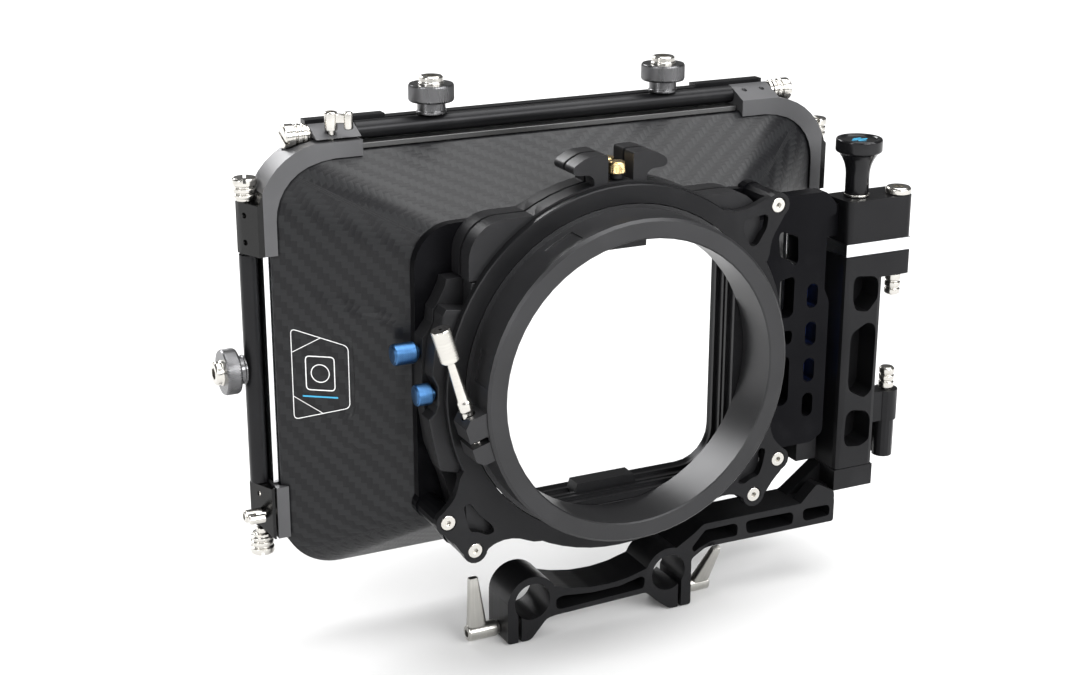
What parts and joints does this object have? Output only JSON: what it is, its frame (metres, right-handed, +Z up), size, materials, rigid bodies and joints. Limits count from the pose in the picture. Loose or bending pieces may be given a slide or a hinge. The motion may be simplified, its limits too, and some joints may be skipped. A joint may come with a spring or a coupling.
{
  "type": "swing-away matte box",
  "caption": "Swing-away camera matte box: flared hood with flag rails, lift-out filter trays, round lens clamp, side hinge and a rod clamp bridge.",
  "frame": {"origin": "midway between the two rod axes, on the rear face of the rod clamp bridge", "axes": "+X to the right seen from behind, toward the hinge; +Y forward along the lens axis, toward the hood; +Z up"},
  "size_m": [0.2759, 0.0851, 0.2135],
  "materials": {
    "black_anodised": "black anodised, satin, machined",
    "knob_black": "dark anodised, knurled",
    "carbon_hood": "moulded carbon-fibre weave under satin resin",
    "steel": "turned stainless steel",
    "bright_strip": "bright aluminium",
    "blue_anodised": "blue anodised",
    "brass": "turned brass"
  },
  "bodies": {
    "rod_bridge": {"rod_arm": "black_anodised", "hinge_column": "black_anodised"},
    "matte_box": {"swing_plate": "black_anodised", "guide_strip": "bright_strip", "release_bar": "blue_anodised", "swing_link": "black_anodised", "hinge_top_block": "black_anodised", "column_spacer": "bright_strip", "hinge_cap": "steel", "clamp_ring": "black_anodised", "rear_plate": "black_anodised", "plate_screw_1": "steel", "plate_screw_2": "steel", "plate_screw_3": "steel", "plate_screw_4": "steel", "plate_screw_5": "steel", "front_frame": "black_anodised", "stage_near": "black_anodised", "stage_far": "black_anodised", "hood_shell": "carbon_hood", "strip_top": "bright_strip", "strip_left": "bright_strip", "strip_right": "bright_strip", "corner_bracket_top_left": "black_anodised", "corner_bracket_top_right": "black_anodised", "corner_bracket_bottom_left": "black_anodised", "corner_bracket_bottom_right": "black_anodised"},
    "lock_knob": {"lock_knob": "knob_black"},
    "hinge_pin_upper": {"hinge_pin_upper": "steel"},
    "hinge_pin_lower": {"hinge_pin_lower": "steel"},
    "rod_lever_left": {"rod_lever_left": "steel"},
    "rod_lever_right": {"rod_lever_right": "steel"},
    "ring_thumbscrew": {"ring_thumbscrew": "steel"},
    "rail_top": {"rail_top": "black_anodised"},
    "rail_left": {"rail_left": "black_anodised"},
    "rail_right": {"rail_right": "black_anodised"},
    "flag_knob_top_left": {"flag_knob_top_left": "knob_black"},
    "flag_knob_top_right": {"flag_knob_top_right": "knob_black"},
    "flag_knob_left": {"flag_knob_left": "knob_black"},
    "flag_knob_right": {"flag_knob_right": "knob_black"},
    "t_lever_top": {"t_lever_top": "steel"},
    "t_lever_left": {"t_lever_left": "steel"},
    "t_lever_right": {"t_lever_right": "steel"},
    "plunger_top_left": {"plunger_top_left": "steel"},
    "plunger_top_right": {"plunger_top_right": "steel"},
    "plunger_left_upper": {"plunger_left_upper": "steel"},
    "plunger_left_lower": {"plunger_left_lower": "steel"},
    "plunger_right_upper": {"plunger_right_upper": "steel"},
    "plunger_right_lower": {"plunger_right_lower": "steel"},
    "tray_near": {"tray_near": "black_anodised"},
    "tray_far": {"tray_far": "black_anodised"},
    "tray_screw_near": {"tray_screw_near": "brass"},
    "tray_screw_far": {"tray_screw_far": "brass"},
    "stage_knob_near": {"stage_knob_near": "blue_anodised"},
    "stage_knob_far": {"stage_knob_far": "blue_anodised"}
  },
  "joints": [
    {"name": "swing_hinge", "type": "hinge", "parent": "rod_bridge", "child": "matte_box", "pos_m": [0.134, 0.0048, 0.0939], "axis": [0, 0, -1], "range_deg": [0, 115]},
    {"name": "lock_knob_pull", "type": "slide", "parent": "matte_box", "child": "lock_knob", "axis": [0, 0, 1], "range_m": [0, 0.005], "stiffness_N_per_m": 600, "springref_m": -0.003},
    {"name": "hinge_pin_upper_pull", "type": "slide", "parent": "rod_bridge", "child": "hinge_pin_upper", "axis": [0, 0, -1], "range_m": [0, 0.014], "stiffness_N_per_m": 300, "springref_m": -0.004},
    {"name": "hinge_pin_lower_pull", "type": "slide", "parent": "rod_bridge", "child": "hinge_pin_lower", "axis": [0, 0, 1], "range_m": [0, 0.0135], "stiffness_N_per_m": 300, "springref_m": -0.004},
    {"name": "rod_lever_left_turn", "type": "hinge", "parent": "rod_bridge", "child": "rod_lever_left", "pos_m": [-0.047, 0.0088, -0.0121], "axis": [1, 0, 0], "range_deg": [0, 120]},
    {"name": "rod_lever_right_turn", "type": "hinge", "parent": "rod_bridge", "child": "rod_lever_right", "pos_m": [0.047, 0.0088, -0.0121], "axis": [1, 0, 0], "range_deg": [0, 100]},
    {"name": "ring_thumbscrew_turn", "type": "hinge", "parent": "matte_box", "child": "ring_thumbscrew", "pos_m": [-0.06335, -0.0227, 0.08155], "axis": [-0.2907, 0, 0.9568], "continuous": true},
    {"name": "rail_top_tilt", "type": "hinge", "parent": "matte_box", "child": "rail_top", "pos_m": [0, 0.0468, 0.1797], "axis": [1, 0, 0], "range_deg": [0, 45]},
    {"name": "rail_left_tilt", "type": "hinge", "parent": "matte_box", "child": "rail_left", "pos_m": [-0.1216, 0.0468, 0.0939], "axis": [0, 0, 1], "range_deg": [0, 60]},
    {"name": "rail_right_tilt", "type": "hinge", "parent": "matte_box", "child": "rail_right", "pos_m": [0.1216, 0.0468, 0.0939], "axis": [0, 0, -1], "range_deg": [0, 60]},
    {"name": "flag_knob_top_left_turn", "type": "hinge", "parent": "rail_top", "child": "flag_knob_top_left", "pos_m": [-0.049, 0.0468, 0.1859], "axis": [0, 0, 1], "continuous": true},
    {"name": "flag_knob_left_turn", "type": "hinge", "parent": "rail_left", "child": "flag_knob_left", "pos_m": [-0.128, 0.0468, 0.0944], "axis": [-1, 0, 0], "continuous": true},
    {"name": "plunger_top_left_pull", "type": "slide", "parent": "matte_box", "child": "plunger_top_left", "axis": [-1, 0, 0], "range_m": [0, 0.003], "stiffness_N_per_m": 400, "springref_m": -0.002},
    {"name": "plunger_left_upper_pull", "type": "slide", "parent": "matte_box", "child": "plunger_left_upper", "axis": [0, 0, 1], "range_m": [0, 0.003], "stiffness_N_per_m": 400, "springref_m": -0.002},
    {"name": "plunger_left_lower_pull", "type": "slide", "parent": "matte_box", "child": "plunger_left_lower", "axis": [0, 0, -1], "range_m": [0, 0.003], "stiffness_N_per_m": 400, "springref_m": -0.002},
    {"name": "flag_knob_top_right_turn", "type": "hinge", "parent": "rail_top", "child": "flag_knob_top_right", "pos_m": [0.049, 0.0468, 0.1859], "axis": [0, 0, 1], "continuous": true},
    {"name": "flag_knob_right_turn", "type": "hinge", "parent": "rail_right", "child": "flag_knob_right", "pos_m": [0.128, 0.0468, 0.0944], "axis": [1, 0, 0], "continuous": true},
    {"name": "plunger_top_right_pull", "type": "slide", "parent": "matte_box", "child": "plunger_top_right", "axis": [1, 0, 0], "range_m": [0, 0.003], "stiffness_N_per_m": 400, "springref_m": -0.002},
    {"name": "plunger_right_upper_pull", "type": "slide", "parent": "matte_box", "child": "plunger_right_upper", "axis": [0, 0, 1], "range_m": [0, 0.003], "stiffness_N_per_m": 400, "springref_m": -0.002},
    {"name": "plunger_right_lower_pull", "type": "slide", "parent": "matte_box", "child": "plunger_right_lower", "axis": [0, 0, -1], "range_m": [0, 0.003], "stiffness_N_per_m": 400, "springref_m": -0.002},
    {"name": "t_lever_top_turn", "type": "hinge", "parent": "matte_box", "child": "t_lever_top", "pos_m": [-0.0903, 0.0413, 0.1839], "axis": [0, 0, 1], "range_deg": [-70, 25]},
    {"name": "t_lever_left_turn", "type": "hinge", "parent": "matte_box", "child": "t_lever_left", "pos_m": [-0.124, 0.0413, 0.0384], "axis": [-1, 0, 0], "range_deg": [-60, 40]},
    {"name": "t_lever_right_turn", "type": "hinge", "parent": "matte_box", "child": "t_lever_right", "pos_m": [0.124, 0.0413, 0.0384], "axis": [1, 0, 0], "range_deg": [-40, 60]},
    {"name": "tray_near_lift", "type": "slide", "parent": "matte_box", "child": "tray_near", "axis": [0, 0, 1], "range_m": [0, 0.115]},
    {"name": "tray_screw_near_turn", "type": "hinge", "parent": "tray_near", "child": "tray_screw_near", "pos_m": [0, -0.00685, 0.1689], "axis": [0, 0, 1], "continuous": true},
    {"name": "tray_far_lift", "type": "slide", "parent": "matte_box", "child": "tray_far", "axis": [0, 0, 1], "range_m": [0, 0.115]},
    {"name": "tray_screw_far_turn", "type": "hinge", "parent": "tray_far", "child": "tray_screw_far", "pos_m": [0, 0.00155, 0.1689], "axis": [0, 0, 1], "continuous": true},
    {"name": "stage_knob_near_pull", "type": "slide", "parent": "matte_box", "child": "stage_knob_near", "axis": [-1, 0, 0], "range_m": [0, 0.0035], "stiffness_N_per_m": 300, "springref_m": -0.002},
    {"name": "stage_knob_far_pull", "type": "slide", "parent": "matte_box", "child": "stage_knob_far", "axis": [-1, 0, 0], "range_m": [0, 0.0035], "stiffness_N_per_m": 300, "springref_m": -0.002}
  ]
}
